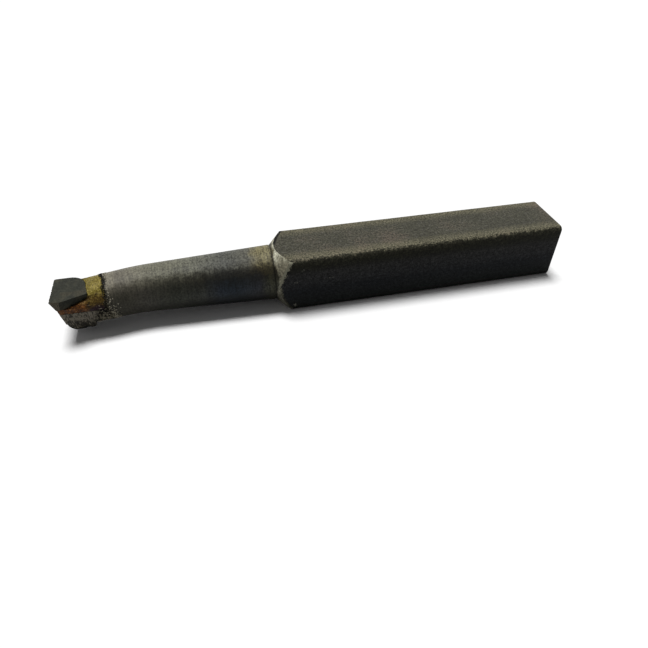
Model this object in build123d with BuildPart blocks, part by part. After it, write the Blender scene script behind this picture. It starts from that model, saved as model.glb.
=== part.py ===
"""Boring bar: a square shank turned down to a slim neck, with a brazed carbide tip on its bent head.

Origin at the centre of the shank's seating face, +Z up to the rake face. The shank runs along X with
its rear end at +X. The head is at -X, and the nose of the tip points towards -Y.
"""

import os
from math import cos, hypot, radians, sin, tan

from build123d import *

os.makedirs("parts", exist_ok=True)

# ------------------------------------------------------------------ driving dimensions, mm and degrees
# Lengths called "ahead" run from the datum plane at the shank's length towards the head, and "side" is
# the distance from the shank's axis towards the nose.

# Square shank
shank_width = 20.0
shank_height = 20.0
shank_length = 95.5         # rear end to the datum plane just before the shoulder
shank_edge_radius = 1.5     # long edges
rear_edge_chamfer = 0.5     # sawn end, edges broken

# Turned shoulder and neck
shoulder_start = 0.7        # ahead, where the cone leaves the corners of the square
shoulder_angle = 45.0
neck_root_diameter = 18.5
neck_root_radius = 0.4      # left by the turning tool in the corner of the shoulder
neck_taper = 2.1            # half angle
turned_length = 58.6        # ahead, where the turned surface ends

# Bend that carries the head out to the side of the nose
bend_distance = 48.5        # ahead, where the two straight axes cross
bend_angle = 9.2
bend_radius = 60.0

# Forged head
heel_distance = 63.6        # ahead, where the deeper heel under the tip starts
heel_clearance = 2.8        # above the shank's seating face
heel_half_width = 7.0
heel_corner_radius = 3.5
heel_end_radius = 1.5

# Carbide tip, set level and turned a little in its seat
rake_height = 16.0          # cutting edge above the shank's seating face
overhang = 73.4             # ahead, to the front cutting edge
nose_side = 9.7
tip_thickness = 3.3
front_edge_length = 12.15
nose_facet_length = 3.0
nose_facet_angle = 9.6      # opens towards the rear
trail_edge_length = 8.3
trail_edge_angle = 20.8     # closes towards the rear
rear_edge_angle = 11.0
back_corner_radius = 5.0
front_corner_radius = 0.6

# Reliefs ground on the tip and the steel
front_relief = 19.0         # through the tip and its joint
front_steel_relief = 6.0
toe_radius = 3.0            # under the front face
nose_relief = 6.0
trail_relief = 11.0
flank_side = 9.1            # of the flank, at the height of its upper edge
flank_edge_height = 10.5
flank_relief = 11.0

# Brazed joint
braze_thickness = 0.3       # under and behind the tip
seat_back_slope = 26.0      # of the seat's rear wall, above the tip
film_thickness = 0.3        # filler that ran over the end of the head
bead_start = 67.9           # ahead, of the fillet of filler up the tip's nose side
bead_start_radius = 0.5
bead_past_corner = 2.0      # runs on behind the tip's rear corner
bead_end_radius = 1.7
bead_rise = 0.4             # of the bead's middle towards that corner

# ------------------------------------------------------------------ values that follow from them
shoulder_x = -shank_length / 2
axis_height = shank_height / 2
corner_reach = (
    hypot(shank_width / 2 - shank_edge_radius, shank_height / 2 - shank_edge_radius) + shank_edge_radius
)
shoulder_run = shoulder_start + (corner_reach - neck_root_diameter / 2) / tan(radians(shoulder_angle))
bend_start = bend_distance - bend_radius * tan(radians(bend_angle) / 2)
bend_length = bend_radius * radians(bend_angle)
seat_height = rake_height - tip_thickness - braze_thickness
head_end = overhang + braze_thickness
well_outside = shank_width + shank_height


def neck_radius(length):
    """Radius of the tapered neck at a length measured along its axis."""
    return neck_root_diameter / 2 - (length - shoulder_run) * tan(radians(neck_taper))


def plan(height):
    """Plane seen from above at a height: local x runs ahead and local y towards the nose side."""
    return Plane(origin=(shoulder_x, 0, height), x_dir=(-1, 0, 0), z_dir=(0, 0, 1))


def side_view():
    """Plane through the shank's axis: local x runs ahead and local y is the height."""
    return Plane(origin=(shoulder_x, 0, 0), x_dir=(-1, 0, 0), z_dir=(0, 1, 0))


def neck_plane(turned, run=0.0):
    """Plane square to the neck's axis where it has turned so many degrees, and a run beyond that."""
    angle = radians(turned)
    ahead = bend_start + bend_radius * sin(angle) + run * cos(angle)
    side = bend_radius * (1 - cos(angle)) + run * sin(angle)
    return Plane(
        origin=(shoulder_x - ahead, -side, axis_height),
        x_dir=(sin(angle), -cos(angle), 0),
        z_dir=(-cos(angle), -sin(angle), 0),
    )


def run_to(ahead):
    """Run along the bent part of the axis that reaches a distance ahead."""
    angle = radians(bend_angle)
    return (ahead - bend_start - bend_radius * sin(angle)) / cos(angle)


def ground_plane(ahead, side, height, heading, relief):
    """Plane of a relief through a point, along a heading in plan, leaning in below its edge."""
    heading = radians(heading)
    relief = radians(relief)
    outward = Vector(sin(heading), -cos(heading), 0)
    return Plane(
        origin=(shoulder_x - ahead, -side, height),
        x_dir=(-cos(heading), -sin(heading), 0),
        z_dir=outward * cos(relief) - Vector(0, 0, 1) * sin(relief),
    )


# Corners of the tip seen from above
nose = Vector(overhang, nose_side)
facet_end = nose + Vector(-nose_facet_length, 0).rotate(Axis.Z, -nose_facet_angle)
trail_end = facet_end + Vector(-trail_edge_length, 0).rotate(Axis.Z, trail_edge_angle)
far_side = nose_side - front_edge_length
rear_rise = tan(radians(rear_edge_angle)) * (trail_end.Y - far_side)
back_corner = Vector(trail_end.X + rear_rise, far_side)
front_corner = Vector(overhang, far_side)

nose_plane = ground_plane(nose.X, nose.Y, rake_height, -nose_facet_angle, nose_relief)
trail_plane = ground_plane(trail_end.X, trail_end.Y, rake_height, trail_edge_angle, trail_relief)
flank_plane = ground_plane(overhang, flank_side, flank_edge_height, 0, flank_relief)

# ------------------------------------------------------------------ outlines seen from above
with BuildSketch() as tip_outline:
    with BuildLine():
        Polyline(
            (nose.X, nose.Y),
            (facet_end.X, facet_end.Y),
            (trail_end.X, trail_end.Y),
            (back_corner.X, back_corner.Y),
            (front_corner.X, front_corner.Y),
            close=True,
        )
    make_face()
    fillet(vertices().sort_by_distance(back_corner)[0], back_corner_radius)
    fillet(vertices().sort_by_distance(front_corner)[0], front_corner_radius)

with BuildSketch() as seat_outline:
    add(tip_outline.sketch)
    offset(amount=braze_thickness, kind=Kind.INTERSECTION)

# The nose side of the seat, which the cutter ran out through
seat_rear = trail_end.X - braze_thickness / cos(radians(rear_edge_angle))
with BuildSketch() as mouth_outline:
    with Locations((seat_rear, trail_end.Y)):
        Rectangle(well_outside, well_outside, align=(Align.MIN, Align.MIN))

# ------------------------------------------------------------------ the space ahead of the ground front
front_edge = (overhang, rake_height)
front_joint = (overhang - (rake_height - seat_height) * tan(radians(front_relief)), seat_height)
front_toe = (
    front_joint[0] - (seat_height - heel_clearance) * tan(radians(front_steel_relief)),
    heel_clearance,
)
with BuildPart() as front_grinding:
    with BuildSketch(side_view()):
        with BuildLine():
            Polyline(
                (overhang + well_outside, rake_height + well_outside),
                (overhang, rake_height + well_outside),
                front_edge,
                front_joint,
                front_toe,
                (front_toe[0] - 2 * toe_radius, heel_clearance),
                (front_toe[0] - 2 * toe_radius, -well_outside),
                (overhang + well_outside, -well_outside),
                close=True,
            )
        make_face()
        fillet(vertices().sort_by_distance(front_toe)[0], toe_radius)
    extrude(amount=well_outside, both=True)

# ------------------------------------------------------------------ the space beside the ground flank
with BuildPart() as flank_grinding:
    with BuildSketch(plan(0)):
        with Locations((turned_length, 0)):
            Rectangle(well_outside, well_outside, align=(Align.MIN, Align.MIN))
    extrude(amount=well_outside)
    split(bisect_by=flank_plane, keep=Keep.TOP)

# ------------------------------------------------------------------ the space over the seat's sloping rear wall
back_run = tan(radians(90 - seat_back_slope)) * well_outside
with BuildPart() as back_slope:
    rear_edge = Plane(
        origin=(shoulder_x - trail_end.X, -trail_end.Y, rake_height),
        x_dir=(cos(radians(rear_edge_angle)), sin(radians(rear_edge_angle)), 0),
        z_dir=(sin(radians(rear_edge_angle)), -cos(radians(rear_edge_angle)), 0),
    )
    with BuildSketch(rear_edge):
        with BuildLine():
            Polyline((0, 0), (back_run, well_outside), (0, well_outside), close=True)
        make_face()
    extrude(amount=well_outside, both=True)

# ------------------------------------------------------------------ the head's round form
with BuildPart() as head_cone:
    for station in (turned_length, head_end):
        with BuildSketch(neck_plane(bend_angle, run_to(station))):
            Circle(neck_radius(bend_start + bend_length + run_to(station)))
    loft()

with BuildPart() as head_core:
    for station in (turned_length, head_end):
        with BuildSketch(neck_plane(bend_angle, run_to(station))):
            Circle(neck_radius(bend_start + bend_length + run_to(station)) - film_thickness)
    loft()
    split(bisect_by=flank_plane.offset(-film_thickness), keep=Keep.BOTTOM)
    add(Pos(0, 0, -film_thickness) * back_slope.part, mode=Mode.SUBTRACT)

# The upper part of the head, which the filler has wetted
with BuildPart() as wetted_zone:
    with BuildSketch(neck_plane(bend_angle, run_to(turned_length))):
        with Locations((0, flank_edge_height - axis_height)):
            Rectangle(well_outside, well_outside, align=(Align.CENTER, Align.MIN))
    extrude(amount=run_to(head_end) - run_to(turned_length) + well_outside)

with BuildPart() as film_space:
    add(wetted_zone.part)
    add(head_core.part, mode=Mode.SUBTRACT)

# Deeper heel that backs the tip
with BuildPart() as heel:
    with BuildSketch(neck_plane(bend_angle, run_to(heel_distance))):
        with Locations((0, heel_clearance - axis_height)):
            Rectangle(2 * heel_half_width, axis_height - heel_clearance, align=(Align.CENTER, Align.MIN))
        fillet(vertices().group_by(Axis.Y)[0], heel_corner_radius)
    extrude(amount=run_to(head_end) - run_to(heel_distance))
    fillet(faces().sort_by(Axis.X)[-1].edges().group_by(Axis.Z)[0], heel_end_radius)

# ------------------------------------------------------------------ bar: shank, neck and head in one steel piece
with BuildPart() as bar:
    # Square bar, as long as the straight part of the axis
    with BuildSketch(Plane.YZ.offset(shank_length / 2)):
        with Locations((0, axis_height)):
            RectangleRounded(shank_width, shank_height, shank_edge_radius)
    extrude(amount=-(shank_length + bend_start))
    chamfer(faces().sort_by(Axis.X)[-1].edges(), rear_edge_chamfer)

    # Turned shoulder and tapered neck
    shoulder_height = well_outside - neck_root_diameter / 2
    cone_start = shoulder_run - shoulder_height / tan(radians(shoulder_angle))
    with BuildSketch(side_view()):
        with BuildLine():
            Polyline(
                (-shank_length - 1, axis_height),
                (-shank_length - 1, axis_height + well_outside),
                (cone_start, axis_height + well_outside),
                (shoulder_run, axis_height + neck_root_diameter / 2),
                (bend_start, axis_height + neck_radius(bend_start)),
                (bend_start, axis_height),
                close=True,
            )
        make_face()
        root = (shoulder_run, axis_height + neck_root_diameter / 2, 0)
        fillet(vertices().sort_by_distance(root)[0], neck_root_radius)
    revolve(axis=Axis((0, 0, axis_height), (1, 0, 0)), mode=Mode.INTERSECT)

    # Bend in the neck
    with BuildLine(plan(axis_height)) as bend_path:
        JernArc(start=(bend_start, 0), tangent=(1, 0), radius=bend_radius, arc_size=bend_angle)
    with BuildSketch(neck_plane(0)):
        Circle(neck_radius(bend_start))
    with BuildSketch(neck_plane(bend_angle)):
        Circle(neck_radius(bend_start + bend_length))
    sweep(path=bend_path.wires()[0], multisection=True)

    # Neck beyond the bend, the round of the head, and its heel
    for station in (0, run_to(head_end)):
        with BuildSketch(neck_plane(bend_angle, station)):
            Circle(neck_radius(bend_start + bend_length + station))
    loft()

    add(heel.part)

    # Ground flank, steel taken off under the filler, and the seat milled for the tip
    add(flank_grinding.part, mode=Mode.SUBTRACT)
    add(film_space.part, mode=Mode.SUBTRACT)
    with BuildSketch(plan(seat_height)):
        add(seat_outline.sketch)
        add(mouth_outline.sketch)
    extrude(amount=well_outside, mode=Mode.SUBTRACT)
    split(bisect_by=nose_plane, keep=Keep.BOTTOM)
    add(front_grinding.part, mode=Mode.SUBTRACT)
bar.part.label = "bar"

# ------------------------------------------------------------------ carbide tip
with BuildPart() as carbide_tip:
    with BuildSketch(plan(seat_height + braze_thickness)):
        add(tip_outline.sketch)
    extrude(amount=tip_thickness)
    split(bisect_by=trail_plane, keep=Keep.BOTTOM)
    split(bisect_by=nose_plane, keep=Keep.BOTTOM)
    add(front_grinding.part, mode=Mode.SUBTRACT)
carbide_tip.part.label = "carbide_tip"

# ------------------------------------------------------------------ fillet of filler up the tip's nose side
bead_turn = radians(trail_edge_angle)
bead_middle = seat_height + braze_thickness
bead_finish = trail_end.X - bead_past_corner
with BuildPart() as bead:
    for ahead, radius, rise in ((bead_start, bead_start_radius, 0), (bead_finish, bead_end_radius, bead_rise)):
        with BuildSketch(
            Plane(
                origin=(
                    shoulder_x - ahead,
                    -trail_end.Y - (ahead - trail_end.X) * tan(bead_turn),
                    bead_middle + rise,
                ),
                x_dir=(sin(bead_turn), -cos(bead_turn), 0),
                z_dir=(cos(bead_turn), sin(bead_turn), 0),
            )
        ):
            Circle(radius)
    loft()

# ------------------------------------------------------------------ brazed joint and the filler that ran out of it
with BuildPart() as braze:
    add(head_cone.part)
    add(wetted_zone.part, mode=Mode.INTERSECT)
    add(back_slope.part, mode=Mode.SUBTRACT)
    with BuildSketch(plan(rake_height)):
        add(seat_outline.sketch)
    extrude(amount=well_outside, mode=Mode.SUBTRACT)
    with BuildSketch(plan(seat_height + braze_thickness)):
        add(mouth_outline.sketch)
    extrude(amount=well_outside, mode=Mode.SUBTRACT)
    add(bead.part)
    add(flank_grinding.part, mode=Mode.SUBTRACT)
    add(bar.part, mode=Mode.SUBTRACT)
    add(carbide_tip.part, mode=Mode.SUBTRACT)
    split(bisect_by=nose_plane, keep=Keep.BOTTOM)
    add(front_grinding.part, mode=Mode.SUBTRACT)
braze.part.label = "braze"

export_step(bar.part, "parts/bar.step")
export_step(carbide_tip.part, "parts/carbide_tip.step")
export_step(braze.part, "parts/braze.step")
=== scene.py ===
import math

import bmesh
import bpy
import numpy as np
from mathutils import Matrix, Quaternion, Vector


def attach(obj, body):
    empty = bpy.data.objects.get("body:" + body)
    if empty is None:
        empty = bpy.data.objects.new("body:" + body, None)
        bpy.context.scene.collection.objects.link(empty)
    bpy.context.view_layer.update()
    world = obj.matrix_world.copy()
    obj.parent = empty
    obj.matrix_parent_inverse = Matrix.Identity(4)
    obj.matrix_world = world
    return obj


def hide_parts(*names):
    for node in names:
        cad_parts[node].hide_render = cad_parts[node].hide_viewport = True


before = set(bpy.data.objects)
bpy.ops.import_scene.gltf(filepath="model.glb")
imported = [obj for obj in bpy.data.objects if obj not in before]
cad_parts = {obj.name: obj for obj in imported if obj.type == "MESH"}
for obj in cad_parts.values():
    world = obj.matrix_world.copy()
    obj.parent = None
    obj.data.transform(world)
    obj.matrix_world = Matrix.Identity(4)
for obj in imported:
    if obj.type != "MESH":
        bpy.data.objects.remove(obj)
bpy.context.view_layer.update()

# --------------------------------------------------
# Tool body. One piece of carbon tool steel: a square shank in its black forging scale, a shoulder and
# a slim tapered neck turned from it, and a head forged to the side of the nose with a deeper heel.
# The head is milled for the tip and ground below it, so that it clears the bore.
MM = 0.001
shoulder_x = -47.75
axis_height = 10.0
half_width = 10.0
shank_edge_radius = 1.5
flat = half_width - shank_edge_radius
rear_ahead = -95.5
rear_edge_break = 0.5
cone_reach = math.hypot(flat, flat) + shank_edge_radius + 0.7
neck_root_radius = 9.25
neck_root_run = cone_reach - neck_root_radius
neck_taper = math.tan(math.radians(2.1))
bend_turn = math.radians(9.2)
bend_radius = 60.0
bend_start = 48.5 - bend_radius * math.tan(bend_turn / 2)
bend_length = bend_radius * bend_turn
turned_end = 58.7
head_end = 74.0
film_thickness = 0.3
film_height = 10.5


def to_frame(ahead, side, height):
    """Metres in the shared frame, from millimetres ahead of the shoulder, to the nose side, and up."""
    ahead, side, height = np.broadcast_arrays(ahead, side, height)
    return np.stack([shoulder_x - ahead, -side, height], axis=-1) * MM


def from_frame(points):
    """Millimetres ahead, to the side and up, from metres in the shared frame."""
    points = np.asarray(points) / MM
    return shoulder_x - points[..., 0], -points[..., 1], points[..., 2]


def on_axis(run):
    """Ahead, side and turn of the body's axis at a run along it from the shoulder's corners."""
    turn = np.clip((run - bend_start) / bend_radius, 0, bend_turn)
    past = np.maximum(run - bend_start - bend_length, 0)
    ahead = np.minimum(run, bend_start) + bend_radius * np.sin(turn) + past * math.cos(bend_turn)
    return ahead, bend_radius * (1 - np.cos(turn)) + past * math.sin(bend_turn), turn


def off_axis(run, across, height):
    """Metres in the shared frame, from millimetres along the body's axis, across it, and up."""
    ahead, side, turn = on_axis(run)
    return to_frame(ahead - across * np.sin(turn), side + across * np.cos(turn), height)


def neck_radius(run):
    """The radius of the neck's taper, and of the head's round."""
    return neck_root_radius - (run - neck_root_run) * neck_taper


def along_axis(ahead, side):
    """The run of a point and its distance from the axis towards the nose side, the other way round."""
    turn = np.clip(np.arctan2(ahead - bend_start, bend_radius - side), 0, bend_turn)
    centre, offset, _ = on_axis(bend_start + bend_radius * turn)
    forward = (ahead - centre) * np.cos(turn) + (side - offset) * np.sin(turn)
    across = (side - offset) * np.cos(turn) - (ahead - centre) * np.sin(turn)
    return bend_start + bend_radius * turn + forward, across


def put_in_scene(name, data):
    """An object of the scene, at the origin."""
    thing = bpy.data.objects.new(name, data)
    bpy.context.scene.collection.objects.link(thing)
    return thing


def new_piece(name, points, faces):
    """A closed mesh with its faces outwards."""
    mesh = bpy.data.meshes.new(name)
    mesh.from_pydata([tuple(p) for p in points], [], faces)
    work = bmesh.new()
    work.from_mesh(mesh)
    bmesh.ops.recalc_face_normals(work, faces=work.faces)
    work.to_mesh(mesh)
    work.free()
    return put_in_scene(name, mesh)


def grid_faces(corner):
    """Four-sided faces over a grid of point numbers."""
    corners = [corner[:-1, :-1], corner[:-1, 1:], corner[1:, 1:], corner[1:, :-1]]
    return np.stack(corners, axis=-1).reshape(-1, 4).tolist()


def closed_rings(name, rings):
    """A skin over rings of points, closed to a point at each end."""
    count, columns, _ = rings.shape
    points = [*rings.reshape(-1, 3), rings[0].mean(axis=0), rings[-1].mean(axis=0)]
    corner = np.arange(count * columns).reshape(count, columns)
    corner = np.concatenate([corner, corner[:, :1]], axis=1)
    faces = grid_faces(corner)
    for ring, middle in ((corner[0], count * columns), (corner[-1], count * columns + 1)):
        faces += [(a, b, middle) for a, b in zip(ring[:-1].tolist(), ring[1:].tolist())]
    return new_piece(name, points, faces)


def prism(loop, opposite):
    """A cutter between two loops of points."""
    size = len(loop)
    sides = [(j, (j + 1) % size, size + (j + 1) % size, size + j) for j in range(size)]
    faces = [*sides, tuple(range(size)), tuple(range(size, 2 * size))]
    return new_piece("cutter", [*loop, *opposite], faces)


def set_finish(piece, codes):
    """Notes how each face of the steel was finished, or all of them alike."""
    count = len(piece.data.polygons)
    finish = piece.data.attributes.new("finish", "INT", "FACE")
    finish.data.foreach_set("value", np.broadcast_to(codes, count).astype(np.int32))


def finished(piece):
    """Turns the piece's modifiers into plain mesh."""
    evaluated = piece.evaluated_get(bpy.context.evaluated_depsgraph_get())
    mesh = bpy.data.meshes.new_from_object(evaluated)
    piece.modifiers.clear()
    piece.data = mesh


def combine(piece, tool, operation):
    """Adds the tool's solid to the piece, or cuts it away, and drops the tool."""
    modifier = piece.modifiers.new("cut", "BOOLEAN")
    modifier.operation = operation
    modifier.solver = "MANIFOLD"
    modifier.object = tool
    finished(piece)
    bpy.data.objects.remove(tool)


SCALE, TURNED, FORGED, GROUND, SAWN = range(5)

# The shank's rounded square section, as angle and reach from the axis
face_steps, corner_steps = 33, 7
face = [(half_width, -flat + 2 * flat * i / face_steps) for i in range(face_steps)]
corner = [
    (flat + shank_edge_radius * math.cos(a), flat + shank_edge_radius * math.sin(a))
    for a in np.linspace(0, math.pi / 2, corner_steps, endpoint=False)
]
quarter = np.array(face + corner)
section = np.concatenate([quarter, quarter @ [[0, 1], [-1, 0]], -quarter, quarter @ [[0, -1], [1, 0]]])
reach = np.hypot(section[:, 0], section[:, 1])
angle = np.arctan2(section[:, 1], section[:, 0])


body_rings = []


def add_ring(run, radius):
    """Adds a ring to the body, square to its axis."""
    body_rings.append(off_axis(run, radius * np.cos(angle), axis_height + radius * np.sin(angle)))


# Sawn end: from its middle out to the broken edge, and round that
sawn_rings = 14
for share in np.linspace(0.06, 1, sawn_rings):
    add_ring(rear_ahead, reach * share * (half_width - rear_edge_break) / half_width)
for t in np.linspace(0, math.pi / 2, 4)[1:]:
    inset = rear_edge_break * (1 - math.sin(t))
    add_ring(rear_ahead + rear_edge_break * (1 - math.cos(t)), reach * (1 - inset / half_width))
# Shank, up to where the turning tool met each line of the square
shank_front, shank_steps, shoulder_steps = cone_reach - reach, 145, 12
start = rear_ahead + rear_edge_break
for share in np.linspace(0, 1, shank_steps + 1)[1:]:
    add_ring(start + share * (shank_front - start), reach)
shank_rings = len(body_rings)
# Shoulder at 45 degrees, and the corner that the tool left at its foot
for share in np.linspace(0, 1, shoulder_steps + 1)[1:]:
    run = shank_front + share * (neck_root_run - shank_front)
    add_ring(run, cone_reach - run)
for step, sunk in ((0.15, 0.16), (0.32, 0.18), (0.5, 0.08)):
    add_ring(neck_root_run + step, neck_root_radius - sunk)
# Neck, in thirds of a turning groove
groove_pitch = 0.5
for run in np.arange(neck_root_run + 0.65, turned_end, groove_pitch / 3):
    add_ring(run, neck_radius(run))
neck_rings = len(body_rings)
# Round of the head, lower where the filler covers it
head_runs = [[turned_end, turned_end + 0.08], np.arange(turned_end + 0.3, head_end, 0.3), [head_end]]
for run in np.concatenate(head_runs):
    radius = neck_radius(run)
    wetted = (axis_height + radius * np.sin(angle) > film_height) & (run > turned_end)
    add_ring(run, radius - film_thickness * wetted)

tool_body = closed_rings("tool_body", np.array(body_rings))
columns = len(section)
ring_counts = [
    sawn_rings - 1, shank_rings - sawn_rings, neck_rings - shank_rings, len(body_rings) - neck_rings
]
finish_of_face = np.repeat(np.repeat([SAWN, SCALE, TURNED, FORGED], ring_counts), columns)
set_finish(tool_body, np.concatenate([finish_of_face, np.full(columns, SAWN), np.full(columns, FORGED)]))

# Heel under the tip, a box with rounded lower edges and a rounded rear end
heel_start, heel_low, heel_half, heel_corner, heel_end_round = 63.8, 2.8, 7.0, 3.5, 1.5
quarter_turn = np.linspace(0, math.pi / 2, 9)
round_half = heel_half - heel_corner + heel_corner * np.cos(quarter_turn[1:])
round_height = heel_low + heel_corner - heel_corner * np.sin(quarter_turn[1:])
heel_outline = np.array(
    [(heel_half, z) for z in np.linspace(axis_height + 1, heel_low + heel_corner, 12)]
    + list(zip(round_half, round_height))
)
flat_half = heel_half - heel_corner
between = [(x, heel_low) for x in np.linspace(flat_half, -flat_half, 12)[1:-1]]
heel_outline = np.concatenate([heel_outline, between, heel_outline[::-1] * (-1, 1)])
heel_rings = []
rounded_runs = heel_start + heel_end_round * (1 - np.cos(quarter_turn))
for run in [*rounded_runs, *np.arange(heel_start + 1.8, head_end, 0.4)]:
    into = min((run - heel_start) / heel_end_round, 1)
    inset = heel_end_round * (1 - math.sqrt(1 - (1 - into) ** 2))
    across = heel_outline[:, 0] * (1 - inset / heel_half)
    height = np.maximum(heel_outline[:, 1], heel_low + inset)
    heel_rings.append(off_axis(run, across, height))
heel = closed_rings("heel", np.array(heel_rings))
set_finish(heel, FORGED)
combine(tool_body, heel, "UNION")


# Corners of the tip from above, as ahead and side, and what is ground under each edge
rake_height, tip_thickness, seat_height = 16.0, 3.3, 12.4
overhang, nose_side, tip_rear = 73.4, 9.7, (62.683, 7.253)
tip_corners = [(overhang, -2.45), (overhang, nose_side), (70.442, 10.2), tip_rear, (64.569, -2.45)]
tip_radii = [0.6, 0.15, 0.15, 0.15, 5.0]
front_relief, front_steel_relief, nose_relief, trail_relief = 19.0, 6.0, 6.0, 11.0
arc_steps = 8
tip_reliefs = [front_relief, nose_relief, trail_relief, 0.0, 0.0]


def tip_loop(insets, spacing=None):
    """The tip's outline with each edge moved in by its inset. Edge k runs from corner k."""
    corners = np.array(tip_corners)
    edges = np.roll(corners, -1, axis=0) - corners
    along = edges / np.linalg.norm(edges, axis=1)[:, None]
    inward = np.stack([-along[:, 1], along[:, 0]], axis=1)
    middle = corners.mean(axis=0)
    inward *= np.sign(((middle - corners) * inward).sum(axis=1))[:, None]
    moved = []
    for k in range(len(corners)):
        reach_in = [inward[j] @ corners[k] + insets[j] for j in (k - 1, k)]
        moved.append(np.linalg.solve(inward[[k - 1, k]], reach_in))
    moved = np.array(moved)
    arcs = []
    for k, radius in enumerate(tip_radii):
        back, fore = -along[k - 1], along[k]
        half = math.acos(np.clip(back @ fore, -1, 1)) / 2
        tangent = radius / math.tan(half)
        centre = moved[k] + (back + fore) / np.linalg.norm(back + fore) * radius / math.sin(half)
        first, last = moved[k] + back * tangent - centre, moved[k] + fore * tangent - centre
        sweep = math.atan2(first[0] * last[1] - first[1] * last[0], first @ last)
        start = math.atan2(first[1], first[0])
        turns = start + sweep * np.linspace(0, 1, arc_steps + 1)
        arcs.append(centre + radius * np.stack([np.cos(turns), np.sin(turns)], axis=1))
    if spacing is None:
        return np.concatenate(arcs)
    loop = []
    for k, arc in enumerate(arcs):
        edge = arcs[(k + 1) % len(arcs)][0] - arc[-1]
        loop += [*arc[:-1], *(arc[-1] + edge * t for t in np.linspace(0, 1, spacing[k], endpoint=False))]
    return np.array(loop)


def level(loop, height):
    """A loop of plan points at a height, in the shared frame."""
    return to_frame(loop[:, 0], loop[:, 1], height)


def ground_block(ahead, side, height, heading, relief, behind, before, size=30):
    """A cutter outside a ground plane that leans in below its edge, from behind a place to before it."""
    heading, relief = math.radians(heading), math.radians(relief)
    along = np.array([math.cos(heading), math.sin(heading), 0])
    level_out = np.array([-math.sin(heading), math.cos(heading), 0])
    out = level_out * math.cos(relief) - [0, 0, math.sin(relief)]
    up = np.cross(along, out)
    middle = np.array([ahead, side, height])
    corners = (-size, -behind), (-size, before), (size, before), (size, -behind)
    square = np.array([middle + a * along + u * up for u, a in corners])
    return prism(to_frame(*square.T), to_frame(*(square + size * out).T))


def steel_cut(cutter):
    """Machines the body with a cutter that leaves a ground surface."""
    set_finish(cutter, GROUND)
    combine(tool_body, cutter, "DIFFERENCE")


# Ground flank, and the steel under the filler on it
flank_start, flank_side, flank_relief, beyond = 58.6, 9.1, 11.0, 90
steel_cut(ground_block(flank_start, flank_side, film_height, 0, flank_relief, -0.05, 30))
above_flank = ground_block(
    flank_start, flank_side - film_thickness, film_height, 0, flank_relief, -0.1, 30
)
box = np.array([(flank_start, -20), (beyond, -20), (beyond, 40), (flank_start, 40)])
combine(above_flank, prism(level(box, film_height), level(box, 40)), "INTERSECT")
steel_cut(above_flank)
# Seat, open at the nose side, and the slope above its rear wall
braze_gap = 0.3
seat = tip_loop([-braze_gap] * 5)
steel_cut(prism(level(seat, seat_height), level(seat, 30)))
mouth_ahead, mouth_side = 62.377, 7.25
mouth = np.array([(mouth_ahead, mouth_side), (beyond, mouth_side), (beyond, 30), (mouth_ahead, 30)])
steel_cut(prism(level(mouth, seat_height), level(mouth, 30)))
rear_turn, back_slope = math.radians(11), math.tan(math.radians(26))
back, rise = np.array([(0, 0), (30, 30 * back_slope), (30, 40), (0, 40)]).T
either_side = (-40, 40)
slope_sides = [
    to_frame(
        tip_rear[0] - back * math.cos(rear_turn) - across * math.sin(rear_turn),
        tip_rear[1] - back * math.sin(rear_turn) + across * math.cos(rear_turn),
        rake_height - film_thickness + rise,
    )
    for across in either_side
]
steel_cut(prism(*slope_sides))
# Reliefs under the nose and the front edge
steel_cut(ground_block(overhang, nose_side, rake_height, -9.6, nose_relief, 12, 12))
joint_ahead = overhang - (rake_height - seat_height) * math.tan(math.radians(front_relief))
steel_lean = math.tan(math.radians(front_steel_relief))
toe = joint_ahead - (seat_height - heel_low) * steel_lean
toe_radius, high, deep, clear_ahead = 3.0, 56, -40, overhang + 39.6
toe_arc = [
    (toe - toe_radius * (1 - math.cos(t)), heel_low + toe_radius * (1 - math.sin(t)))
    for t in np.linspace(0, math.pi / 2, 10)
]
front_profile = [
    (clear_ahead, high), (overhang, high), (overhang, rake_height), (joint_ahead, seat_height),
    (toe + toe_radius * steel_lean, heel_low + toe_radius),
    *toe_arc,
    (toe - 2 * toe_radius, heel_low), (toe - 2 * toe_radius, deep), (clear_ahead, deep),
]
ahead, height = np.array(front_profile).T
steel_cut(prism(*(to_frame(ahead, side, height) for side in either_side)))

# Small hollow where the heel's forging didn't fill, at its lower rear corner
pit_ahead, pit_side, pit_height, pit_rings = 65.6, 7.7, 3.1, []
turns = np.linspace(0, 2 * math.pi, 12, endpoint=False)
for latitude in np.linspace(-80, 80, 7):
    wide = np.cos(np.radians(latitude)) * (1 + 0.25 * np.sin(3 * turns + latitude))
    ahead, height = pit_ahead + 0.9 * wide * np.cos(turns), pit_height + 0.5 * wide * np.sin(turns)
    pit_rings.append(to_frame(ahead, pit_side + 0.8 * math.sin(math.radians(latitude)), height))
pit = closed_rings("pit", np.array(pit_rings))
set_finish(pit, SCALE)
combine(tool_body, pit, "DIFFERENCE")


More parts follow.
